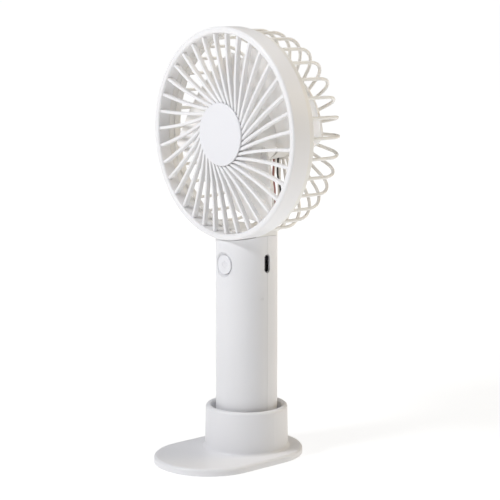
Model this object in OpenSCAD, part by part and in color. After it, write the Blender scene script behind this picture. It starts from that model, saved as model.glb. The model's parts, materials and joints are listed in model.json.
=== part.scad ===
// Handheld electric fan that stands upright in an oval desk stand.
// The origin is on the handle's axis, in the plane that the stand rests on.
// +Z points up and the air leaves the head towards -Y. All sizes are in millimetres.

/* [Head] */
// Outer diameter of the front cover
head_d = 103; // [98:0.5:112]
// Height of the head's axis above the table
head_z = 161.3; // [158:0.1:168]
// How far the rim plane lies in front of the handle's axis
rim_front = 16.7; // [15.8:0.1:17.6]
// Depth of the front cover's band
band_depth = 10.4; // [9:0.1:12]
// Thickness of the front cover's wall at its rim
rim_wall = 3.1; // [2.6:0.1:3.6]

/* [Front grille] */
// Number of curved ribs in the front grille
front_ribs = 35; // [24:1:35]
// Thickness of one front rib
front_rib_t = 1.5; // [1:0.1:1.6]
// Depth of one front rib, front to back
front_rib_h = 2.6; // [2.2:0.1:4.2]
// Radius that each front rib is bent to
front_rib_bend = 200; // [150:5:300]
// Angle between a rib and the radius where it leaves the rim
front_rib_tilt = 6.5; // [3:0.5:9]
// Diameter of the round cap in the middle of the front grille
hub_cap_d = 30.5; // [29.5:0.1:31]

/* [Rear cage] */
// Number of round rods in the rear cage
rear_rods = 32; // [24:1:34]
// Diameter of one rod
rod_d = 1.7; // [1.5:0.1:1.8]
// Depth of the rods' rear plane behind the rim plane
cage_depth = 38.5; // [38:0.1:40]
// Radius of the bend from a rod's side into the rear plane
rod_bend = 13; // [9:0.5:14]
// Lean of the rods towards the axis, from the flange to the bend
rod_lean = 0; // [0:0.5:4]
// Depth of the flange that shows behind the front cover
flange_depth = 3.6; // [3:0.1:4]

/* [Impeller] */
// Diameter over the blade tips
impeller_d = 88; // [84:1:89]
// Number of blades
blades = 3; // [3:1:5]
// Outer diameter of the impeller's hub
hub_d = 30; // [29.6:0.1:31]
// Thickness of a blade
blade_t = 1.3; // [1:0.1:1.6]
// Radius of a blade's round outline
petal_r = 26; // [22:0.5:27]
// Distance from the axis to the middle of that outline
petal_mid = 30; // [29:0.5:32]
// Radius that a blade's sheet is curved to
blade_bend = 100; // [80:5:200]

/* [Handle] */
// Outer diameter of the handle
handle_d = 30.7; // [30.4:0.1:31]
// Wall thickness of the handle's shells
handle_wall = 1.6; // [1.4:0.1:1.7]
// Gap between the two shells at their seam
seam_gap = 0.12; // [0.1:0.02:0.2]
// Height of the button's middle above the table
control_z = 97.5; // [97:0.1:98]
// Height of the charging port's middle above the table
port_z = 98.3; // [97.6:0.1:98.5]
// Diameter of the power button's cap
button_d = 9.3; // [9:0.1:9.5]
// Travel of the power button
button_travel = 0.6; // [0.4:0.1:0.7]

/* [Stand] */
// Width of the oval plate, left to right
plate_w = 54.8; // [53:0.2:60]
// Length of the oval plate, front to back
plate_l = 80.2; // [78:0.2:90]
// How far the plate's middle lies in front of the handle's axis
plate_front = 11.7; // [10:0.1:13]
// Height of the plate's top
plate_h = 4; // [3.8:0.1:5]
// Height of the collar's rim
collar_z = 25.5; // [24:0.1:28]
// Outer diameter of the collar at its rim
collar_d = 41; // [40.5:0.1:42]
// Diameter of the lead-in recess at the collar's mouth
mouth_d = 35; // [34:0.1:35.4]
// Radial clearance between the handle and the socket
socket_gap = 0.1; // [0.1:0.02:0.2]

/* [Power] */
// Diameter of the rechargeable cell
cell_d = 18.2; // [18:0.1:18.4]
// Length of the rechargeable cell
cell_l = 65; // [64:0.1:65]
// Diameter of the motor's can
motor_d = 24.4; // [24:0.1:24.4]
// Diameter of the motor's shaft
shaft_d = 2; // [1.8:0.1:2.2]

/* [Hidden] */

$fn = 96;
round_fn = 180;
wire_fn = 32;

// Head, in depths behind the rim plane and radii from the head's axis
head_r = head_d / 2;
bezel_in_r = head_r - rim_wall;
skirt_in_r = head_r - 1.9;
edge_r = 1;
spigot_front = 7.2;
flange_front = band_depth + 0.1;
flange_rear = flange_front + flange_depth;
flange_r = head_r - 0.9;
flange_in_r = bezel_in_r - 0.5;
rod_r = rod_d / 2;

// Front grille: the ribs rise towards the hub like a very flat cone
cone_in_r = 14;
cone_in_d = 0.2;
cone_out_d = 0.95;
boss_r = hub_cap_d / 2 - 0.6;
boss_wall = 1.9;
boss_rear = 4.2;
cap_front = -0.75;
cap_rear = 0.05;
cap_skirt_h = 2.15;
cap_skirt_r = boss_r - boss_wall - 0.15;
rib_sweep = 10.6;
rib_end_r = bezel_in_r - 0.02;

// Rear cage: each rod leans in, bends, and runs to the motor's disc
flange_rod_r = bezel_in_r + 0.9;
bend_z = cage_depth - rod_bend;
lean_length = (bend_z + rod_bend * sin(rod_lean) - flange_rear + 1) / cos(rod_lean);
bend_x = flange_rod_r - lean_length * sin(rod_lean) - rod_bend * cos(rod_lean);
disc_r = 14.6;
disc_front = 36.9;
disc_rear = cage_depth + rod_r + 0.25;
pot_front = 28;
pot_wall = 1.65;
pot_gap = 0.15;
saddle_r = head_r + 0.2;
neck_gap = 0.1;
tongue_w = 12;
tongue_t = 7;
tongue_z = 102.7;
wire_hole_x = 5.4;
wire_hole_y = 9.6;
wire_hole_r = 1.9;

// Motor and impeller depths
motor_r = motor_d / 2;
can_wall = 0.9;
can_front = 18.6;
can_rear = 34.6;
end_cap_rear = 35.6;
hub_r = hub_d / 2;
hub_front = 8.6;
hub_rear = 25;
hub_wall = 1.4;
hub_edge = 3;
boss_end = 17.6;
shaft_r = shaft_d / 2;
shaft_gap = 0.05;
bush_r = 2.95;
blade_root_r = hub_r - 0.7;
tip_r = impeller_d / 2;
blade_turn = -35;
sheet_half = 26;
sheet_lead = 25.6;
sheet_trail = 8.2;

// Motor's armature
core_front = 22;
core_h = 8;
core_mid_r = 3.2;
arm_w = 2.8;
pole_in_r = 7;
pole_out_r = 8.6;
pole_slot = 2.4;
coil_w = 2.6;
coil_t = 1.4;
magnet_in_r = 9.2;
magnet_t = 2;
commutator_r = 2.4;
commutator_front = 31.8;
commutator_h = 2;
terminal_r = 5.6;

// Handle
handle_r = handle_d / 2;
inner_r = handle_r - handle_wall;
socket_floor = 6;
handle_z0 = socket_floor + 0.1;
foot_chamfer = 0.6;
dish_r = 6.4;
dish_floor = 1.65 - handle_r;
button_r = button_d / 2;
button_hole_r = button_r + 0.2;
button_front = 0.85 - handle_r;
flange_back = 5.15 - handle_r;
plunger_r = 1.7;
plunger_front = -6.9;
plunger_rear = -5;
switch_front = -6.3;
screw_low_z = 80.8;
screw_high_z = 106.4;
screw_r = 1.1;
pilot_r = screw_r + 0.05;
screw_head_r = 2.3;
screw_head_y = 4.2;
boss_out_r = 3.1;
board_front = -2.8;
board_rear = -1.6;
board_z0 = 78.5;
board_z1 = 102.2;
board_half = 9.6;
port_w = 8.94;
port_h = 3.16;
port_wall = 0.25;
port_mouth = handle_r - 0.75;
port_back = handle_r - 7.85;
led_angle = -11.7;
led_z = 81;
led_r = 0.8;

// Battery
cell_r = cell_d / 2;
cell_z0 = 10;
lead_r = 0.6;
motor_lead_r = 0.5;

// Stand
plate_r = plate_w / 2;
plate_reach = plate_l / 2 - plate_r;
pad_h = 1.5;
plate_z0 = 0.5;
plate_edge = 1.5;
collar_r = collar_d / 2;
collar_draft = 0.4;
mouth_r = mouth_d / 2;
mouth_depth = 4.5;
socket_r = handle_r + socket_gap;

// Puts children into the head: z is the depth behind the rim plane, y points down.
module in_head() {
  translate([0, -rim_front, head_z]) rotate([-90, 0, 0]) children();
}

// A rectangle in an outline, from its low corner to its high corner.
module span(low, high) {
  translate(low) square(high - low);
}

// A straight round bar along Y, between two places.
module bar_y(r, y0, y1, z, x = 0) {
  translate([x, y0, z]) rotate([-90, 0, 0]) cylinder(r = r, h = y1 - y0);
}

// ---- Stand ----

// The oval of the plate, made smaller all round by inset, as a flat slab.
module oval_slab(inset, z0, z1) {
  r = plate_r - inset;
  for (s = [-1, 1])
    translate([0, s * plate_reach - plate_front, z0]) cylinder(r = r, h = z1 - z0, $fn = round_fn);
  translate([-r, -plate_reach - plate_front, z0]) cube([2 * r, 2 * plate_reach, z1 - z0]);
}

// Half of the plate's cross-section, with its rounded top edge.
module plate_section() {
  span([0, plate_z0], [plate_r, plate_h - plate_edge]);
  span([0, plate_z0], [plate_r - plate_edge, plate_h]);
  translate([plate_r - plate_edge, plate_h - plate_edge]) circle(r = plate_edge);
}

module plate_body() {
  for (s = [-1, 1])
    translate([0, s * plate_reach - plate_front, 0]) rotate_extrude($fn = round_fn) plate_section();
  translate([0, plate_reach - plate_front, 0]) rotate([90, 0, 0])
    linear_extrude(2 * plate_reach) {
      plate_section();
      mirror([1, 0]) plate_section();
    }
}

// Collar around the socket: a drafted outside, a filleted foot and a rounded rim.
module collar_section() {
  rim_r = (collar_r - mouth_r) / 2;
  foot_r = collar_r + collar_draft;
  fillet = 1.5;
  polygon([
    [socket_r, socket_floor - 2], [foot_r, socket_floor - 2], [foot_r, plate_h],
    [collar_r, collar_z - rim_r], [mouth_r, collar_z - rim_r],
    [mouth_r, collar_z - mouth_depth], [socket_r, collar_z - mouth_depth - 1.6]
  ]);
  translate([mouth_r + rim_r, collar_z - rim_r]) circle(r = rim_r);
  difference() {
    span([foot_r - 0.5, plate_h - 0.5], [foot_r + fillet, plate_h + fillet]);
    translate([foot_r + fillet, plate_h + fillet]) circle(r = fillet);
  }
}

module stand_base() {
  color("white") {
    difference() {
      plate_body();
      oval_slab(3, plate_z0 - 1, pad_h + 0.05);
    }
    rotate_extrude($fn = round_fn) collar_section();
    translate([0, 0, socket_floor - 2]) cylinder(r = socket_r + 1, h = 2);
  }
}

module stand_pad() {
  color("dimgray") oval_slab(3.1, 0, pad_h);
}

// ---- Handle ----

// Tube of the handle, open at both ends, with its top cut round to fit under the head.
module handle_tube() {
  difference() {
    rotate_extrude($fn = round_fn) polygon([
      [inner_r, handle_z0], [handle_r - foot_chamfer, handle_z0],
      [handle_r, handle_z0 + foot_chamfer], [handle_r, head_z], [inner_r, head_z]
    ]);
    head_clearance();
  }
}

module head_clearance() {
  bar_y(head_r + 0.3, -2 * head_r, 2 * head_r, head_z, $fn = round_fn);
}

// The half of the handle on one side of the seam: -1 is the front, 1 the rear.
module seam_half(side) {
  reach = 2 * handle_r;
  translate([-reach, side > 0 ? seam_gap / 2 : -seam_gap / 2 - reach, 0])
    cube([2 * reach, reach, head_z]);
}

// Two half rings that hold the cell away from the shell, cut short on -X for the black lead.
module cell_rings() {
  ring_h = 1.4;
  lead_side = -7.5;
  for (z = [cell_z0 + 10, cell_z0 + cell_l - 11])
    intersection() {
      translate([0, 0, z]) difference() {
        cylinder(r = inner_r + 0.3, h = ring_h);
        translate([0, 0, -1]) cylinder(r = cell_r + 0.3, h = ring_h + 2);
      }
      translate([lead_side, -handle_r, z - 1]) cube([handle_d, handle_d, ring_h + 2]);
    }
}

// Rounded slot that the charging port looks through.
module port_slot() {
  gap = 0.2;
  half = port_h / 2 + gap;
  for (s = [-1, 1])
    translate([6, 0, port_z + s * (port_w / 2 - port_h / 2)]) rotate([0, 90, 0])
      cylinder(r = half, h = handle_r);
  translate([6, -half, port_z - port_w / 2 + port_h / 2])
    cube([handle_r, 2 * half, port_w - port_h]);
}

// A round hole for the light pipe, square to the handle's surface.
module light_pipe_bar(r, x0, x1) {
  translate([0, 0, led_z]) rotate([0, 0, led_angle]) translate([x0, 0, 0]) rotate([0, 90, 0])
    cylinder(r = r, h = x1 - x0, $fn = wire_fn);
}

module handle_front_shell() {
  color("white") difference() {
    intersection() {
      union() {
        handle_tube();
        cell_rings();
        intersection() {
          bar_y(dish_r + 1.4, -handle_r, flange_back - 1.1, control_z);
          cylinder(r = handle_r - 0.4, h = head_z);
        }
        bar_y(boss_out_r, -inner_r, 0, screw_low_z);
        difference() {
          bar_y(boss_out_r, -inner_r, -tongue_t / 2 - neck_gap, screw_high_z);
          head_clearance();
        }
      }
      seam_half(-1);
    }
    translate([0, -handle_r - 0.4, control_z]) rotate([-90, 0, 0])
      cylinder(r1 = dish_r + 0.2, r2 = dish_r - 1, h = handle_r + 0.4 + dish_floor);
    bar_y(button_hole_r, -handle_r, -9, control_z);
    for (z = [screw_low_z, screw_high_z]) bar_y(pilot_r, -9.6, 1, z, $fn = wire_fn);
    port_slot();
    light_pipe_bar(led_r + 0.05, 9, handle_r + 2);
  }
}

module handle_rear_shell() {
  color("white") difference() {
    intersection() {
      union() {
        handle_tube();
        cell_rings();
        bar_y(boss_out_r, 0, inner_r, screw_low_z);
        difference() {
          bar_y(boss_out_r, tongue_t / 2 + neck_gap, inner_r, screw_high_z);
          head_clearance();
        }
      }
      seam_half(1);
    }
    port_slot();
    for (z = [screw_low_z, screw_high_z]) {
      bar_y(screw_head_r + 0.15, screw_head_y + 1.3, handle_r + 1, z);
      bar_y(pilot_r + 0.1, -1, handle_r, z, $fn = wire_fn);
    }
  }
}

// Disc that closes the foot of the handle, with a low rim inside the shells.
module handle_bottom_cap() {
  cap_r = inner_r - 0.1;
  floor_h = 1.6;
  rim_h = 3.2;
  rim_t = 1.3;
  color("white") translate([0, 0, handle_z0]) difference() {
    cylinder(r = cap_r, h = rim_h);
    translate([0, 0, floor_h]) cylinder(r = cap_r - rim_t, h = rim_h);
  }
}

// Pan-head screws that hold the two shells and the head's tongue together.
module handle_screws() {
  seat = screw_head_y + 1.35;
  head_h = 1.6;
  cross_l = 2.6;
  cross_w = 0.6;
  color("silver") for (z = [screw_low_z, screw_high_z]) difference() {
    union() {
      bar_y(screw_r, -9, seat, z, $fn = wire_fn);
      bar_y(screw_head_r, seat, seat + head_h, z);
    }
    for (turn = [0, 90]) translate([0, seat + head_h, z]) rotate([0, turn, 0])
      cube([cross_l, head_h, cross_w], center = true);
  }
}

// ---- Head: covers and cage ----

// Half of the front cover's wall: a rounded bezel and a band with a thin skirt behind it.
module cover_section() {
  span([bezel_in_r, edge_r], [head_r, spigot_front - 0.2]);
  span([skirt_in_r, edge_r], [head_r, band_depth]);
  span([bezel_in_r + edge_r, 0], [head_r - edge_r, 2]);
  for (r = [bezel_in_r + edge_r, head_r - edge_r]) translate([r, edge_r]) circle(r = edge_r);
}

// One front rib, a flat bar bent to an arc, deeper than the grille needs.
module front_rib() {
  x = (skirt_in_r + bezel_in_r) / 2;
  translate([x + front_rib_bend * sin(front_rib_tilt), front_rib_bend * cos(front_rib_tilt), -2])
    rotate([0, 0, -90 - front_rib_tilt - rib_sweep]) rotate_extrude(angle = rib_sweep, $fn = 720)
      translate([front_rib_bend - front_rib_t / 2, 0]) square([front_rib_t, 10]);
}

// The flat cone that the ribs are trimmed to, front and back.
module grille_cone() {
  rotate_extrude($fn = round_fn) polygon([
    [cone_in_r - 1, cone_in_d], [rib_end_r, cone_out_d],
    [rib_end_r, cone_out_d + front_rib_h], [cone_in_r - 1, cone_in_d + front_rib_h]
  ]);
}

module front_cover() {
  color("white") in_head() rotate_extrude($fn = round_fn) cover_section();
}

// The ribs and the round boss in their middle, which end at the bezel's inner wall.
module front_grille() {
  color("white") in_head() {
    intersection() {
      for (i = [0:front_ribs - 1]) rotate([0, 0, (i + 0.5) * 360 / front_ribs]) front_rib();
      grille_cone();
    }
    difference() {
      translate([0, 0, cone_in_d]) cylinder(r = boss_r, h = boss_rear - cone_in_d);
      translate([0, 0, cone_in_d - 1]) cylinder(r = boss_r - boss_wall, h = boss_rear - cone_in_d - 0.4);
    }
  }
}

module front_hub_cap() {
  r = hub_cap_d / 2;
  edge = 0.45;
  color("white") in_head() {
    rotate_extrude() {
      span([0, cap_front], [r - edge, cap_rear]);
      span([0, cap_front + edge], [r, cap_rear]);
      translate([r - edge, cap_front + edge]) circle(r = edge);
    }
    rotate_extrude() span([cap_skirt_r - 1, cap_rear - 0.2], [cap_skirt_r, cap_rear + cap_skirt_h]);
  }
}

// Half of the rear flange: a spigot inside the cover's skirt and a rounded rim behind it.
module flange_section() {
  edge = 0.6;
  span([flange_in_r, flange_front], [flange_r, flange_rear - edge]);
  span([flange_in_r, flange_front], [flange_r - edge, flange_rear]);
  translate([flange_r - edge, flange_rear - edge]) circle(r = edge);
  span([bezel_in_r, spigot_front], [skirt_in_r - 0.15, flange_front + 0.5]);
}

// Numbers of the rods that stand on the neck, and of all the others.
function on_neck(i) =
  sin(i * 360 / rear_rods) > 0 && abs(flange_rod_r * cos(i * 360 / rear_rods)) < handle_r + rod_r;
neck_rods = [for (i = [0:rear_rods - 1]) if (on_neck(i)) i];
free_rods = [for (i = [0:rear_rods - 1]) if (!on_neck(i)) i];

module turn_to_rod(i) {
  rotate([0, 0, i * 360 / rear_rods]) children();
}

// Each rod lies in a plane through the head's axis: a side that leans in from the flange,
// a bend, and a back that runs to the motor's disc. The three meet face to face. A side that
// is one with its bend is a hair thinner and reaches into it, so that they join into a solid.
module rod_side(thinner = 0, joint = 0) {
  translate([bend_x + rod_bend * cos(rod_lean), 0, bend_z + rod_bend * sin(rod_lean)])
    rotate([0, -rod_lean, 0]) translate([0, 0, -lean_length])
      cylinder(r = rod_r - thinner, h = lean_length + joint, $fn = wire_fn);
}

module rod_bend_arc() {
  translate([bend_x, 0, bend_z]) rotate([90, 0, 0]) rotate([0, 0, rod_lean])
    rotate_extrude(angle = 90 - rod_lean) translate([rod_bend, 0]) circle(r = rod_r, $fn = wire_fn);
}

module rod_back() {
  translate([disc_r, 0, cage_depth]) rotate([0, 90, 0])
    cylinder(r = rod_r, h = bend_x - disc_r, $fn = wire_fn);
}

// Solid neck at the foot of the cage, flush with the handle, and the tongue inside the handle.
module neck() {
  tip_in = flange_in_r - (handle_r + rim_front - flange_rear) * tan(rod_lean);
  difference() {
    union() {
      intersection() {
        in_head() rotate_extrude($fn = round_fn) polygon([
          [flange_r - 1, flange_front + 0.1], [saddle_r, flange_front + 0.1],
          [saddle_r, disc_front], [tip_in, handle_r + rim_front], [flange_in_r, flange_rear]
        ]);
        cylinder(r = handle_r, h = head_z - 30, $fn = round_fn);
      }
      translate([-tongue_w / 2, -tongue_t / 2, tongue_z])
        cube([tongue_w, tongue_t, head_z - flange_r - tongue_z]);
    }
    translate([wire_hole_x, wire_hole_y, head_z - 60]) cylinder(r = wire_hole_r, h = 20);
    bar_y(pilot_r + 0.1, -20, 20, screw_high_z, $fn = wire_fn);
  }
}

// Flange behind the front cover, in one with the neck and the rods that come out of it.
module rear_flange() {
  color("whitesmoke") {
    in_head() {
      rotate_extrude($fn = round_fn) flange_section();
      for (i = neck_rods) turn_to_rod(i) {
        rod_side(0.01, 0.3);
        rod_bend_arc();
      }
    }
    neck();
  }
}

module cage_side_rods() {
  color("whitesmoke") in_head() for (i = free_rods) turn_to_rod(i) difference() {
    rod_side();
    translate([0, 0, flange_rear - 5]) cylinder(r = head_r, h = 5);
  }
}

module cage_bends() {
  color("whitesmoke") in_head() for (i = free_rods) turn_to_rod(i) rod_bend_arc();
}

module cage_back_rods() {
  color("whitesmoke") in_head() for (i = [0:rear_rods - 1]) turn_to_rod(i) rod_back();
}

// Disc in the middle of the cage's back, with the cup that holds the motor's rear end.
module motor_mount() {
  color("whitesmoke") in_head() {
    translate([0, 0, disc_front]) cylinder(r = disc_r, h = disc_rear - disc_front);
    difference() {
      translate([0, 0, pot_front])
        cylinder(r = motor_r + pot_gap + pot_wall, h = disc_front - pot_front + 0.5);
      translate([0, 0, pot_front - 1])
        cylinder(r = motor_r + pot_gap, h = disc_front - pot_front + 1);
      translate([-5, 0, can_rear - 1]) cube([10, 20, disc_front - can_rear + 1]);
    }
  }
}

// ---- Impeller and motor ----

// Curved sheet that a blade is cut from: part of a round tube that lies along the radius.
// It passes the leading edge deep in the head and the trailing edge close behind the grille.
module blade_sheet() {
  chord = norm([2 * sheet_half, sheet_lead - sheet_trail]);
  slope = atan((sheet_lead - sheet_trail) / (2 * sheet_half));
  rise = sqrt(blade_bend * blade_bend - chord * chord / 4);
  mid = (sheet_lead + sheet_trail) / 2;
  translate([0, rise * sin(slope), mid - rise * cos(slope)]) rotate([0, 90, 0]) difference() {
    cylinder(r = blade_bend + blade_t / 2, h = tip_r + 1, $fn = 360);
    translate([0, 0, -1]) cylinder(r = blade_bend - blade_t / 2, h = tip_r + 3, $fn = 360);
  }
}

module blade() {
  intersection() {
    blade_sheet();
    linear_extrude(hub_rear + 6) difference() {
      intersection() {
        circle(r = tip_r, $fn = round_fn);
        translate([petal_mid, 0]) circle(r = petal_r);
      }
      circle(r = blade_root_r);
    }
  }
}

// Half of the hub: a cup with a rounded nose that covers the motor's front.
module hub_section() {
  difference() {
    union() {
      span([0, hub_front], [hub_r - hub_edge, hub_front + 2 * hub_edge]);
      span([0, hub_front + hub_edge], [hub_r, hub_rear]);
      translate([hub_r - hub_edge, hub_front + hub_edge]) circle(r = hub_edge);
    }
    span([-1, hub_front + 2.4], [hub_r - hub_wall, hub_rear + 1]);
  }
  span([0, hub_front + 1], [4, boss_end]);
}

module impeller() {
  color("white") in_head() {
    difference() {
      rotate_extrude($fn = round_fn) hub_section();
      translate([0, 0, hub_front + 1.2]) cylinder(r = shaft_r, h = 20, $fn = wire_fn);
    }
    for (i = [0:blades - 1]) rotate([0, 0, blade_turn + i * 360 / blades]) blade();
  }
}

module motor_shaft() {
  color("silver") in_head() translate([0, 0, hub_front + 1.3])
    cylinder(r = shaft_r - 0.01, h = end_cap_rear - 0.4 - hub_front - 1.3, $fn = wire_fn);
}

// Three-pole laminated core: a middle, three arms, and a ring with a slot between the poles.
module armature_core() {
  color("gray") in_head() translate([0, 0, core_front]) difference() {
    union() {
      cylinder(r = core_mid_r, h = core_h);
      for (i = [0:2]) rotate([0, 0, i * 120]) translate([core_mid_r / 2, -arm_w / 2, 0])
        cube([pole_in_r + 0.6 - core_mid_r / 2, arm_w, core_h]);
      difference() {
        cylinder(r = pole_out_r, h = core_h);
        translate([0, 0, -1]) cylinder(r = pole_in_r, h = core_h + 2);
      }
    }
    translate([0, 0, -1]) cylinder(r = shaft_r, h = core_h + 2, $fn = wire_fn);
    for (i = [0:2]) rotate([0, 0, 60 + i * 120]) translate([pole_in_r - 1, -pole_slot / 2, -1])
      cube([4, pole_slot, core_h + 2]);
  }
}

// A copper coil wound round each of the core's arms.
module armature_windings() {
  coil_x = core_mid_r + 0.3;
  gap = 0.05;
  color("peru") in_head() for (i = [0:2]) rotate([0, 0, i * 120]) difference() {
    translate([coil_x, -arm_w / 2 - coil_t, core_front - coil_t])
      cube([coil_w, arm_w + 2 * coil_t, core_h + 2 * coil_t]);
    translate([coil_x - 1, -arm_w / 2 - gap, core_front - gap])
      cube([coil_w + 2, arm_w + 2 * gap, core_h + 2 * gap]);
  }
}

module commutator() {
  color("peru") in_head() translate([0, 0, commutator_front]) difference() {
    cylinder(r = commutator_r, h = commutator_h);
    translate([0, 0, -1]) cylinder(r = shaft_r, h = commutator_h + 2, $fn = wire_fn);
  }
}

module motor_can() {
  color("silver") in_head() difference() {
    translate([0, 0, can_front]) cylinder(r = motor_r, h = can_rear - can_front);
    translate([0, 0, can_front + 1]) cylinder(r = motor_r - can_wall, h = can_rear);
    translate([0, 0, can_front - 1]) cylinder(r = bush_r + 0.05, h = 5);
  }
}

module motor_end_cap() {
  color("ivory") in_head() difference() {
    union() {
      translate([0, 0, can_rear + 0.05]) cylinder(r = motor_r - 0.1, h = end_cap_rear - can_rear - 0.05);
      translate([0, 0, can_rear - 0.6]) cylinder(r = motor_r - can_wall - 0.1, h = 1);
    }
    translate([0, 0, can_rear - 1]) cylinder(r = bush_r + 0.05, h = 1.5);
    translate([0, 0, can_rear - 1]) cylinder(r = shaft_r + shaft_gap, h = 1.8, $fn = wire_fn);
    for (s = [-1, 1]) translate([s * terminal_r - 0.5, -1.2, can_rear - 1]) cube([1, 2.4, 3]);
  }
}

// Two curved magnets inside the can.
module motor_magnets() {
  color("dimgray") in_head() for (turn = [-55, 125])
    translate([0, 0, core_front - 1.4]) rotate([0, 0, turn]) rotate_extrude(angle = 110)
      translate([magnet_in_r, 0]) square([magnet_t, core_h + 3]);
}

module bush(z0, h) {
  in_head() translate([0, 0, z0]) difference() {
    cylinder(r = bush_r, h = h);
    translate([0, 0, -1]) cylinder(r = shaft_r + shaft_gap, h = h + 2, $fn = wire_fn);
  }
}

module motor_front_bush() {
  color("darkgoldenrod") bush(can_front - 0.4, 1.8);
}

module motor_rear_bush() {
  color("darkgoldenrod") bush(can_rear - 0.55, 1);
}

// Brushes that touch the commutator, each with the terminal it is fixed to.
module motor_brushes() {
  color("darkgoldenrod") in_head() for (turn = [0, 180]) rotate([0, 0, turn]) {
    front = commutator_front + 0.4;
    half = 0.9;
    tip = commutator_r + 0.05;
    translate([tip, -half, front]) cube([terminal_r + 0.3 - tip, 2 * half, 1.2]);
    translate([terminal_r - 0.3, -half, front]) cube([0.6, 2 * half, end_cap_rear + 0.6 - front]);
  }
}

// ---- Wires ----

// One more point between b and c on a smooth curve through a, b, c and d.
function curve_at(a, b, c, d, t) =
  0.5 * (2 * b + (c - a) * t + (2 * a - 5 * b + 4 * c - d) * t * t + (3 * b - a - 3 * c + d) * t * t * t);

function smooth(route, steps) = [
  for (i = [0:len(route) - 2]) for (k = [0:steps - 1])
    curve_at(route[max(i - 1, 0)], route[i], route[i + 1], route[min(i + 2, len(route) - 1)], k / steps),
  route[len(route) - 1]
];

function unit(v) = v / norm(v);

// A round wire along a route, as one closed tube with eight sides.
module wire(route, r, steps = 3, sides = 8) {
  path = smooth(route, steps);
  last = len(path) - 1;
  points = [
    for (i = [0:last])
      let (t = unit(path[min(i + 1, last)] - path[max(i - 1, 0)]),
           a = unit(cross(t, [0.31, 0.87, 0.17])), b = cross(t, a))
      for (k = [0:sides - 1]) path[i] + r * (a * cos(360 * k / sides) + b * sin(360 * k / sides))
  ];
  walls = [
    for (i = [0:last - 1]) for (k = [0:sides - 1])
      let (n = (k + 1) % sides)
      each [[i * sides + k, (i + 1) * sides + k, (i + 1) * sides + n],
            [i * sides + k, (i + 1) * sides + n, i * sides + n]]
  ];
  start = [[for (k = [0:sides - 1]) k]];
  end = [[for (k = [0:sides - 1]) last * sides + sides - 1 - k]];
  polyhedron(points, concat(walls, start, end));
}

// Routes of the wires. The motor's leads hang inside the cage and go down through the neck.
// Their first points are given by depth behind the rim plane.
lead_black_route = [
  [1.5, 36.3 - rim_front, head_z - 7], [1.7, 36.2 - rim_front, head_z - 12],
  [3, 34.6 - rim_front, head_z - 17], [4.3, 33.3 - rim_front, head_z - 20.8],
  [5.8, 33 - rim_front, head_z - 25], [7.2, 32.8 - rim_front, head_z - 29.5],
  [7.4, 32 - rim_front, head_z - 35], [6.6, 30.5 - rim_front, head_z - 41],
  [5.9, 27.4 - rim_front, head_z - 44.6], [6, 9.7, head_z - 46.8], [6, 9.4, head_z - 50],
  [6.2, 7.6, head_z - 54.5], [6.2, 6, head_z - 57.6], [5.8, 3.4, head_z - 60],
  [5.4, -0.6, head_z - 62]
];
lead_red_route = [
  [-1.5, 36.3 - rim_front, head_z - 7], [-1.5, 36.2 - rim_front, head_z - 12],
  [0, 34.6 - rim_front, head_z - 18], [1.7, 33 - rim_front, head_z - 23],
  [3, 32.8 - rim_front, head_z - 29], [3.8, 32 - rim_front, head_z - 35],
  [4.5, 30.5 - rim_front, head_z - 41], [4.7, 27.6 - rim_front, head_z - 44.6],
  [4.7, 9.8, head_z - 46.8], [4.7, 9.4, head_z - 50], [4.6, 7.6, head_z - 54.5],
  [4.4, 6, head_z - 57.6], [3.8, 3.4, head_z - 60], [3, -0.6, head_z - 62]
];
cell_red_route = [
  [2, 0.6, cell_z0 + cell_l + 1.1], [4.6, 1.4, cell_z0 + cell_l + 1.3],
  [6.6, 0.6, cell_z0 + cell_l + 3.4], [6.6, -0.9, cell_z0 + cell_l + 6.5],
  [6.6, -0.9, cell_z0 + cell_l + 9]
];
cell_black_route = [
  [-9.9, 0, cell_z0 + 0.8], [-11, 0, cell_z0 + 3], [-11.2, 0, cell_z0 + 10],
  [-11.2, 0, cell_z0 + 35], [-11.2, 0, cell_z0 + cell_l - 5], [-10, -0.4, cell_z0 + cell_l + 2],
  [-7, -0.9, cell_z0 + cell_l + 6.5], [-7, -0.9, cell_z0 + cell_l + 9]
];

module motor_lead_red() {
  color("firebrick") wire(lead_red_route, motor_lead_r);
}

module motor_lead_black() {
  color("black") wire(lead_black_route, motor_lead_r);
}

module battery_lead_red() {
  color("firebrick") wire(cell_red_route, lead_r);
}

module battery_lead_black() {
  color("black") wire(cell_black_route, lead_r);
}

// ---- Controls, board and battery ----

// Cap with a slightly hollow face, a flange that keeps it in, and a stem to the switch.
module button_cap() {
  hollow_r = 40;
  color("white") difference() {
    union() {
      bar_y(button_r, button_front, flange_back - 0.4, control_z);
      bar_y(button_hole_r + 0.5, flange_back - 0.8, flange_back, control_z);
      bar_y(plunger_r - 0.2, flange_back - 0.5, plunger_front - 0.05, control_z);
    }
    translate([0, button_front - hollow_r + 0.2, control_z]) sphere(r = hollow_r, $fn = round_fn);
  }
}

module switch_plunger() {
  color("dimgray") bar_y(plunger_r, plunger_front, plunger_rear, control_z);
}

// Square switch on the board, with a hole that the plunger sinks into.
module switch_body() {
  side = 6;
  color("black") difference() {
    translate([-side / 2, switch_front, control_z - side / 2])
      cube([side, board_front - 0.05 - switch_front, side]);
    bar_y(plunger_r + 0.08, switch_front - 1, plunger_rear + button_travel + 0.2, control_z);
  }
}

module circuit_board() {
  color("darkgreen") difference() {
    translate([-board_half, board_front, board_z0])
      cube([2 * board_half, board_rear - board_front, board_z1 - board_z0]);
    bar_y(boss_out_r + 0.4, board_front - 1, board_rear + 1, screw_low_z);
    translate([-boss_out_r - 0.4, board_front - 1, board_z0 - 1])
      cube([2 * boss_out_r + 0.8, 4, screw_low_z - board_z0 + 1]);
  }
}

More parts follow.
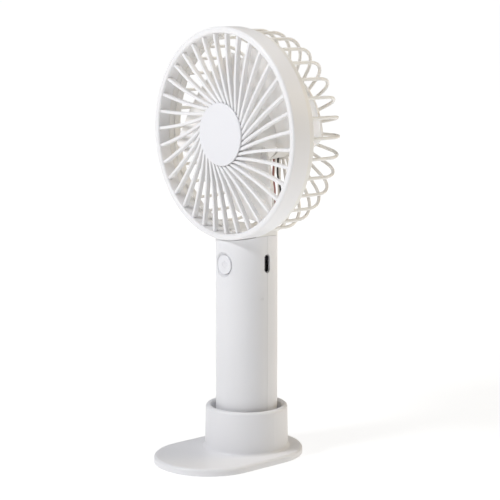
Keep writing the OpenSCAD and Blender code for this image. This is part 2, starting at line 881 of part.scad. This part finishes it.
// Controller, power transistor, inductor and two capacitors, all on the board's rear face.
module board_chips() {
  face = board_rear + 0.03;
  color("black") {
    chip([-5.5, face, board_z0 + 8], [5, 1.5, 4]);
    chip([1, face, board_z0 + 8.3], [3, 1.1, 2.8]);
    chip([-5.6, face, board_z0 + 14.5], [5, 2.4, 5]);
    for (z = [13.9, 16.1]) chip([1.2, face, board_z0 + z], [1.6, 0.9, 0.9]);
  }
}

// A block of a given size on the board, from its low corner.
module chip(corner, size) {
  translate(corner) cube(size);
}

// Outline of the charging port, as a rounded bar along X.
module port_bar(inset, x0, x1) {
  half = port_h / 2 - inset;
  reach = port_w / 2 - port_h / 2;
  for (s = [-1, 1]) translate([x0, 0, port_z + s * reach]) rotate([0, 90, 0])
    cylinder(r = half, h = x1 - x0);
  translate([x0, -half, port_z - reach]) cube([x1 - x0, 2 * half, 2 * reach]);
}

module usb_c_shell() {
  color("silver") difference() {
    port_bar(0.01, port_back, port_mouth);
    port_bar(port_wall, port_back + 0.6, port_mouth + 1);
  }
}

module usb_c_tongue() {
  w = 6.6;
  t = 0.7;
  color("black") translate([port_back + 0.62, -t / 2, port_z - w / 2]) cube([5.8, t, w]);
}

module charge_led() {
  color("ivory") translate([board_half - 1.6, board_front - 0.85, led_z - 0.4]) cube([1.5, 0.8, 0.8]);
}

module light_pipe() {
  color("white") intersection() {
    light_pipe_bar(led_r, 10.2, handle_r + 1);
    cylinder(r = handle_r - 0.02, h = head_z, $fn = round_fn);
  }
}

module battery_cell() {
  color("steelblue") translate([0, 0, cell_z0]) cylinder(r = cell_r, h = cell_l);
}

// Nickel strips welded to both ends of the cell.
module battery_tabs() {
  color("silver") {
    translate([-3, -2, cell_z0 + cell_l + 0.02]) cube([7, 4, 0.2]);
    translate([-10, -2, cell_z0 - 0.22]) cube([14, 4, 0.2]);
  }
}

module battery_cushion() {
  z = handle_z0 + 2;
  color("dimgray") translate([0, 0, z]) cylinder(r = cell_r - 1.1, h = cell_z0 - 0.25 - z);
}

stand_base();
stand_pad();
handle_front_shell();
handle_rear_shell();
handle_bottom_cap();
handle_screws();
front_cover();
front_grille();
front_hub_cap();
rear_flange();
cage_side_rods();
cage_bends();
cage_back_rods();
motor_mount();
impeller();
motor_shaft();
armature_core();
armature_windings();
commutator();
motor_can();
motor_end_cap();
motor_magnets();
motor_front_bush();
motor_rear_bush();
motor_brushes();
motor_lead_red();
motor_lead_black();
button_cap();
switch_plunger();
switch_body();
circuit_board();
board_chips();
usb_c_shell();
usb_c_tongue();
charge_led();
light_pipe();
battery_cell();
battery_tabs();
battery_cushion();
battery_lead_red();
battery_lead_black();
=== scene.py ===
import json
import math

import bmesh
import bpy
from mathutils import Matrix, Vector


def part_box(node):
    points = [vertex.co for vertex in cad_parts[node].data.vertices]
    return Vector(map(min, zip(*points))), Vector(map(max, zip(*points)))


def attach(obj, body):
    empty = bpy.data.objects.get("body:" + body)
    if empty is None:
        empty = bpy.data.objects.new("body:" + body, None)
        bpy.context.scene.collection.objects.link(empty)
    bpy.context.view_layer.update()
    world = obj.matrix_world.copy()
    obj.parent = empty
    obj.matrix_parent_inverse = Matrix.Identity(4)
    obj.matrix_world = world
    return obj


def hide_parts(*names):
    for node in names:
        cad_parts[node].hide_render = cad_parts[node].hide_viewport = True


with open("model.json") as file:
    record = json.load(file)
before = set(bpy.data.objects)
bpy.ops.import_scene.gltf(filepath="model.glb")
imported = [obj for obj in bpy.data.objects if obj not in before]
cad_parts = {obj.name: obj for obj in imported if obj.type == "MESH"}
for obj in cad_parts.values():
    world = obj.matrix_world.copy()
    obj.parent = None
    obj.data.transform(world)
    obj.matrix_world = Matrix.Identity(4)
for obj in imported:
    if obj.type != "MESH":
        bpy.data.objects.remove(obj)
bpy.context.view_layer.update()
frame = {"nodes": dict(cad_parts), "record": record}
NODES = frame["nodes"]
SLOT_OF = {s["node"]: s["material_slot"] for s in frame["record"]["subparts"]}
MM = 0.001

# ---- Places, worked out from the frame ----

cover_low, cover_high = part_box("front_cover")
button_low, button_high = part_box("button_cap")
HEAD_Z = (cover_low.z + cover_high.z) / 2
RIM_Y = cover_low.y
BUTTON_Z = (button_low.z + button_high.z) / 2
BUTTON_FACE = button_low.y


# ---- Materials ----

class Graph:
    """Short calls for the nodes and links of one material.
    A value may be a number, a colour or another node's output."""

    def __init__(self, name):
        self.material = bpy.data.materials.new(name)
        self.material.use_nodes = True
        self.tree = self.material.node_tree
        self.shader = self.tree.nodes["Principled BSDF"]

    def node(self, kind, **inputs):
        made = self.tree.nodes.new(kind)
        for name, value in inputs.items():
            self.feed(made.inputs[name.replace("_", " ")], value)
        return made

    def feed(self, socket, value):
        if isinstance(value, bpy.types.NodeSocket):
            self.tree.links.new(value, socket)
        else:
            socket.default_value = value

    def place(self):
        """The point on the object, in metres, which moves with the piece."""
        return self.node("ShaderNodeTexCoord").outputs["Object"]

    def noise(self, scale, detail=3.0, roughness=0.5, vector=None):
        made = self.node("ShaderNodeTexNoise", Scale=scale, Detail=detail, Roughness=roughness)
        self.feed(made.inputs["Vector"], vector or self.place())
        return made.outputs["Fac"]

    def spread(self, value, low, high, from_low=0.3, from_high=0.7):
        """Stretches the usual range of a noise, or any other range, over low to high."""
        made = self.node("ShaderNodeMapRange", Value=value)
        ends = {"From Min": from_low, "From Max": from_high, "To Min": low, "To Max": high}
        for name, number in ends.items():
            made.inputs[name].default_value = number
        return made.outputs["Result"]

    def tint(self, value, low, high):
        """A colour between low and high."""
        ramp = self.node("ShaderNodeValToRGB", Fac=value)
        ramp.color_ramp.elements[0].color = (*low, 1)
        ramp.color_ramp.elements[1].color = (*high, 1)
        ramp.color_ramp.elements[0].position = 0.3
        ramp.color_ramp.elements[1].position = 0.7
        return ramp.outputs["Color"]

    def bump(self, height, distance, strength=1.0):
        made = self.node("ShaderNodeBump", Height=height, Strength=strength, Distance=distance)
        self.feed(self.shader.inputs["Normal"], made.outputs["Normal"])


def shade(colour, change):
    """The colour made lighter, or darker where change is below zero."""
    return tuple(min(1.0, max(0.0, c * (1 + change))) for c in colour)


GRAIN_SCALE = 2600.0
GLOW_REACH = (0.0012, 0.0011, 0.0010)


def moulded(name, colour, rough, depth=0.006, glow=0.06, coat=0.0, gloss_change=0.04):
    """Moulded plastic: a fine spark-eroded grain, slow changes of gloss and tone, and soft light inside.
    depth is the grain's, in mm."""
    g = Graph(name)
    slow = g.noise(28.0, detail=2.0)
    fine = g.noise(GRAIN_SCALE, detail=2.0, roughness=0.6)
    g.feed(g.shader.inputs["Base Color"], g.tint(slow, shade(colour, -0.018), shade(colour, 0.012)))
    gloss = g.noise(190.0)
    g.feed(g.shader.inputs["Roughness"], g.spread(gloss, rough - gloss_change, rough + gloss_change))
    g.bump(fine, depth * MM)
    g.shader.inputs["IOR"].default_value = 1.5
    g.shader.inputs["Subsurface Weight"].default_value = glow
    g.shader.inputs["Subsurface Radius"].default_value = GLOW_REACH
    g.shader.inputs["Subsurface Scale"].default_value = 1.0
    g.shader.inputs["Coat Weight"].default_value = coat
    g.shader.inputs["Coat Roughness"].default_value = 0.18
    return g.material


def metal(name, colour, rough, brushed=0.0):
    """Metal with fine scratches. brushed stretches them along Z."""
    g = Graph(name)
    stretch = g.node("ShaderNodeMapping", Vector=g.place())
    stretch.inputs["Scale"].default_value = (1, 1, 1 - brushed)
    lines = g.noise(2400.0, detail=3.0, vector=stretch.outputs["Vector"])
    g.feed(g.shader.inputs["Base Color"], g.tint(g.noise(90.0), shade(colour, -0.08), shade(colour, 0.05)))
    g.feed(g.shader.inputs["Roughness"], g.spread(lines, rough - 0.07, rough + 0.1))
    g.bump(lines, 0.004 * MM)
    g.shader.inputs["Metallic"].default_value = 1.0
    return g.material


def soft(name, colour, rough, scale, depth, hollow_shade=-0.35):
    """Rubber, foam, sleeve or board lacquer: a visible grain, painted darker in its hollows as shade and
    lighter on its tops. depth is in mm.
    """
    g = Graph(name)
    grain = g.noise(scale, detail=4.0, roughness=0.65)
    # Painted shade: the colour darkens where the grain is low, in the same hollows that the bump makes,
    # and lightens on the tops.
    g.feed(g.shader.inputs["Base Color"], g.tint(grain, shade(colour, hollow_shade), shade(colour, 0.12)))
    g.feed(g.shader.inputs["Roughness"], g.spread(g.noise(240.0), rough - 0.06, rough + 0.06))
    g.bump(grain, depth * MM)
    return g.material


def laminated(name, colour):
    """Stacked steel sheets: thin dark lines across the stack, which lies along Y."""
    g = Graph(name)
    sheets = g.node("ShaderNodeTexWave", Scale=330.0, Distortion=0.2)
    sheets.bands_direction = "Y"
    g.feed(sheets.inputs["Vector"], g.place())
    g.feed(g.shader.inputs["Base Color"], g.tint(sheets.outputs["Fac"], shade(colour, -0.5), colour))
    g.feed(g.shader.inputs["Roughness"], g.spread(g.noise(300.0), 0.38, 0.5))
    g.bump(sheets.outputs["Fac"], 0.02 * MM)
    g.shader.inputs["Metallic"].default_value = 1.0
    return g.material


def wound(name, colour):
    """Enamelled copper wire wound in rows, painted darker in the grooves between the rows as shade."""
    g = Graph(name)
    rows = g.node("ShaderNodeTexWave", Scale=700.0, Distortion=0.6)
    rows.bands_direction = "DIAGONAL"
    g.feed(rows.inputs["Vector"], g.place())
    row = rows.outputs["Fac"]
    # Painted shade: the colour darkens in the grooves between the rows, where the bump is low, and
    # lightens on the rows.
    g.feed(g.shader.inputs["Base Color"], g.tint(row, shade(colour, -0.55), shade(colour, 0.1)))
    g.feed(g.shader.inputs["Roughness"], g.spread(g.noise(400.0), 0.22, 0.34))
    g.bump(row, 0.05 * MM)
    g.shader.inputs["Metallic"].default_value = 1.0
    return g.material


MATERIALS = {
    "shell_white": moulded("shell_white", (0.835, 0.835, 0.85), 0.42),
    "cover_white": moulded("cover_white", (0.865, 0.86, 0.865), 0.40, glow=0.12),
    "cage_white": moulded("cage_white", (0.86, 0.845, 0.815), 0.40, glow=0.15),
    "stand_white": moulded("stand_white", (0.86, 0.86, 0.875), 0.44),
    "cap_white": moulded("cap_white", (0.83, 0.83, 0.855), 0.32, depth=0.003, coat=0.10,
                         gloss_change=0.015),
    "impeller_white": moulded("impeller_white", (0.90, 0.885, 0.865), 0.33, depth=0.003, glow=0.30),
    "motor_plastic": moulded("motor_plastic", (0.78, 0.73, 0.60), 0.45, glow=0.15),
    "black_plastic": moulded("black_plastic", (0.020, 0.020, 0.023), 0.42, depth=0.01, glow=0.0),
    "light_pipe": moulded("light_pipe", (0.80, 0.80, 0.81), 0.35, depth=0.002, glow=0.3),
    "led": moulded("led", (0.85, 0.80, 0.58), 0.22, depth=0.002, glow=0.3, coat=0.4),
    "pad_rubber": soft("pad_rubber", (0.045, 0.045, 0.048), 0.78, 1500.0, 0.05),
    "foam": soft("foam", (0.07, 0.07, 0.075), 0.92, 2200.0, 0.12, hollow_shade=-0.6),
    "board": soft("board", (0.015, 0.10, 0.045), 0.34, 700.0, 0.008, hollow_shade=-0.2),
    "cell": soft("cell", (0.030, 0.16, 0.31), 0.30, 300.0, 0.006, hollow_shade=-0.1),
    "wire_red": soft("wire_red", (0.42, 0.17, 0.15), 0.40, 900.0, 0.004, hollow_shade=-0.15),
    "wire_black": soft("wire_black", (0.014, 0.014, 0.015), 0.42, 900.0, 0.004, hollow_shade=-0.15),
    "magnet": soft("magnet", (0.055, 0.055, 0.06), 0.60, 1300.0, 0.03),
    "steel": metal("steel", (0.60, 0.60, 0.62), 0.28, brushed=0.8),
    "nickel": metal("nickel", (0.66, 0.64, 0.60), 0.24, brushed=0.6),
    "bronze": metal("bronze", (0.58, 0.38, 0.18), 0.42),
    "lamination": laminated("lamination", (0.34, 0.34, 0.36)),
    "copper": wound("copper", (0.70, 0.30, 0.14)),
}


def finish_with(obj, slot):
    obj.data.materials.clear()
    obj.data.materials.append(MATERIALS[slot])


for name, node in NODES.items():
    finish_with(node, SLOT_OF[name])


# ---- Fine pieces, each made from points and faces ----

def piece(name, points, faces, slot):
    """A new smooth mesh in the shared frame, with its faces turned outward. Points are in metres."""
    mesh = bpy.data.meshes.new(name)
    mesh.from_pydata(points, [], faces)
    mesh.validate()
    outward = bmesh.new()
    outward.from_mesh(mesh)
    bmesh.ops.recalc_face_normals(outward, faces=outward.faces)
    outward.to_mesh(mesh)
    outward.free()
    mesh.polygons.foreach_set("use_smooth", [True] * len(mesh.polygons))
    mesh.update()
    obj = bpy.data.objects.new(name, mesh)
    bpy.context.scene.collection.objects.link(obj)
    mesh.materials.append(MATERIALS[slot])
    return obj


def in_head(x, down, depth):
    """A place given in mm across and below the head's axis, and behind the rim plane."""
    return (x * MM, RIM_Y + depth * MM, HEAD_Z - down * MM)


def rounded_bar(half, depth, front_r, rear_r, steps=5):
    """Outline of a bar's cross-section, as (across, depth) pairs in mm."""
    corners = ((half - front_r, front_r, front_r, -90), (half - rear_r, depth - rear_r, rear_r, 0),
               (rear_r - half, depth - rear_r, rear_r, 90), (front_r - half, front_r, front_r, 180))
    outline = []
    for across, back, r, start in corners:
        for k in range(steps + 1):
            a = math.radians(start + 90 * k / steps)
            outline.append((across + r * math.cos(a), back + r * math.sin(a)))
    return outline


def loft(rings, closed=False):
    """Points and faces of a skin over rings of points, with a cap on both ends of an open run."""
    count = len(rings[0])
    faces = []
    last = len(rings) if closed else len(rings) - 1
    for i in range(last):
        a, b = i * count, (i + 1) % len(rings) * count
        for k in range(count):
            n = (k + 1) % count
            faces.append((a + k, a + n, b + n, b + k))
    if not closed:
        faces.append(tuple(reversed(range(count))))
        faces.append(tuple(range(last * count, (last + 1) * count)))
    return [p for ring in rings for p in ring], faces


def join(parts):
    """Points and faces of several parts, as one part."""
    points, faces = [], []
    for some_points, some_faces in parts:
        start = len(points)
        points += some_points
        faces += [tuple(start + k for k in face) for face in some_faces]
    return points, faces


# The front ribs: arcs of one radius, which leave the bezel's wall at a tilt and end in the boss.
# Lengths are in mm. The grille's front face is a shallow cone through two (radius, depth) places.
RIBS = 35
RIB_BEND = 200.0
RIB_TILT = math.radians(6.5)
RIB_ROOT = 49.0
RIB_SWEEP = math.radians(10.75)
RIB_STEPS = 24
RIB_START = 0.008
RIB_HALF = 0.75
RIB_DEPTH = 2.6
RIB_FRONT_EDGE, RIB_REAR_EDGE = 0.42, 0.25
CONE_IN, CONE_OUT = (13.0, 0.2), (48.4, 0.95)


def cone_depth(radius):
    """How far the grille's front face lies behind the rim plane."""
    share = (radius - CONE_IN[0]) / (CONE_OUT[0] - CONE_IN[0])
    return CONE_IN[1] + share * (CONE_OUT[1] - CONE_IN[1])


def rib(turn):
    """One curved rib with softly rounded edges, from inside the bezel's wall to the boss."""
    outline = rounded_bar(RIB_HALF, RIB_DEPTH, RIB_FRONT_EDGE, RIB_REAR_EDGE)
    middle = (RIB_ROOT + RIB_BEND * math.sin(RIB_TILT), RIB_BEND * math.cos(RIB_TILT))
    rings = []
    for k in range(RIB_STEPS + 1):
        swept = RIB_SWEEP * (RIB_START + (1 - RIB_START) * k / RIB_STEPS)
        a = -math.pi / 2 - RIB_TILT - swept
        ring = []
        for across, back in outline:
            x = middle[0] + (RIB_BEND + across) * math.cos(a)
            y = middle[1] + (RIB_BEND + across) * math.sin(a)
            depth = cone_depth(math.hypot(x, y)) + back
            ring.append(in_head(x * math.cos(turn) - y * math.sin(turn),
                                x * math.sin(turn) + y * math.cos(turn), depth))
        rings.append(ring)
    return loft(rings)


def lathe(outline, steps=120):
    """A closed outline of (radius, depth) pairs in mm, turned round the head's axis."""
    rings = []
    for k in range(steps):
        a = 2 * math.pi * k / steps
        rings.append([in_head(r * math.cos(a), r * math.sin(a), d) for r, d in outline])
    return loft(rings, closed=True)


def boss():
    """The round boss that the ribs run into, hollow in front, where the hub cap sits."""
    outer, front, rear = 14.65, 0.25, 4.2
    front_edge, rear_edge = 0.2, 0.25
    mouth, floor_r, floor, centre = 11.2, 12.6, 2.8, 0.3
    lip = 0.05
    return lathe([(mouth, front + lip), (outer - front_edge, front), (outer, front + front_edge),
                  (outer, rear - front_edge), (outer - rear_edge, rear), (centre, rear),
                  (centre, floor + lip), (floor_r, floor)])


ribs = [rib(2 * math.pi * (i + 0.5) / RIBS) for i in range(RIBS)]
grille = piece("grille_ribs", *join(ribs + [boss()]), "cover_white")
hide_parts("front_grille")
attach(grille, "handle")


def power_symbol():
    """Raised line of a plain power symbol: a bar and an open ring that follow the button's hollow face."""
    hollow_r, dip = 40.0, 0.2
    rise, sink, edge = 0.15, 0.05, 0.03
    foot, shoulder, crest = 0.19, 0.17, 0.1
    ring_r, ring_drop = 1.55, 0.1
    bar_foot, bar_step, bar_points = 0.25, 0.18, 10
    profile = ((-foot, -sink), (foot, -sink), (shoulder, rise - edge),
               (crest, rise), (-crest, rise), (-shoulder, rise - edge))

    def on_button(x, z, up):
        depth = dip - (x * x + z * z) / (2 * hollow_r) - up
        return (x * MM, BUTTON_FACE + depth * MM, BUTTON_Z + z * MM)

    def line(path):
        rings = []
        for i, (x, z) in enumerate(path):
            a, b = path[max(i - 1, 0)], path[min(i + 1, len(path) - 1)]
            length = math.hypot(b[0] - a[0], b[1] - a[1])
            nx, nz = -(b[1] - a[1]) / length, (b[0] - a[0]) / length
            rings.append([on_button(x + nx * w, z + nz * w, up) for w, up in profile])
        return loft(rings)

    turns = [math.radians(a) for a in range(38, 323, 6)]
    ring = [(ring_r * math.sin(a), ring_r * math.cos(a) - ring_drop) for a in turns]
    bar = [(0, bar_foot + bar_step * k) for k in range(bar_points)]
    return join([line(ring), line(bar)])


symbol = piece("power_symbol", *power_symbol(), "cap_white")
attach(symbol, "button")


# ---- Camera, floor and light, in metres ----

def aim(obj, place, target):
    obj.location = place
    obj.rotation_euler = (Vector(target) - Vector(place)).to_track_quat("-Z", "Y").to_euler()
    bpy.context.scene.collection.objects.link(obj)


def make_camera():
    """Seen from the front right, a little above the head, through a long lens."""
    azimuth, distance, height, aim_height = math.radians(48.57), 0.7841, 0.2277, 0.1035
    data = bpy.data.cameras.new("camera")
    data.lens = 115.7
    data.sensor_width = 36
    data.shift_x = 0.0069
    data.shift_y = -0.0012
    data.clip_start = 0.05
    data.clip_end = 900
    camera = bpy.data.objects.new("camera", data)
    place = (distance * math.sin(azimuth), -distance * math.cos(azimuth), height)
    aim(camera, place, (0, 0, aim_height))
    bpy.context.scene.camera = camera


def make_floor():
    """A plain floor that the stand rests on, wide enough to fill any view and whiter far away."""
    reach, fade_end = 300.0, 0.9
    near, far = (0.79, 0.79, 0.79), (1.0, 1.0, 1.0)
    mesh = bpy.data.meshes.new("floor")
    corners = [(-reach, -reach, 0), (reach, -reach, 0), (reach, reach, 0), (-reach, reach, 0)]
    mesh.from_pydata(corners, [], [(0, 1, 2, 3)])
    floor = bpy.data.objects.new("floor", mesh)
    bpy.context.scene.collection.objects.link(floor)
    g = Graph("floor")
    g.feed(g.shader.inputs["Base Color"], g.tint(g.noise(3.0), (0.30, 0.30, 0.30), (0.31, 0.31, 0.31)))
    g.shader.inputs["Roughness"].default_value = 0.95
    g.shader.inputs["Specular IOR Level"].default_value = 0.0
    length = g.node("ShaderNodeVectorMath")
    length.operation = "LENGTH"
    g.feed(length.inputs[0], g.place())
    away = g.spread(length.outputs["Value"], 0.0, 1.0, 0.0, fade_end)
    g.feed(g.shader.inputs["Emission Color"], g.tint(away, near, far))
    g.shader.inputs["Emission Strength"].default_value = 1.0
    mesh.materials.append(g.material)


LIT_PLACE = (0, 0, 0.12)


def area_light(name, place, size, watts, colour):
    """A round lamp turned towards the top of the handle."""
    data = bpy.data.lights.new(name, "AREA")
    data.shape = "DISK"
    data.size = size
    data.energy = watts
    data.color = colour
    aim(bpy.data.objects.new(name, data), place, LIT_PLACE)


def make_world(colour, strength):
    world = bpy.data.worlds.new("studio")
    world.use_nodes = True
    background = world.node_tree.nodes["Background"]
    background.inputs["Color"].default_value = (*colour, 1)
    background.inputs["Strength"].default_value = strength
    bpy.context.scene.world = world


make_camera()
make_floor()
make_world((1.0, 0.97, 0.93), 0.05)
area_light("key", (-0.19, -1.06, 1.01), 0.30, 11.0, (0.965, 0.97, 1.0))
area_light("top", (0.05, 0.05, 1.45), 1.3, 9.0, (1.0, 1.0, 1.0))
area_light("fill", (0.62, 1.07, 0.62), 0.7, 5.6, (1.0, 0.85, 0.62))
bpy.context.scene.view_settings.view_transform = "Standard"
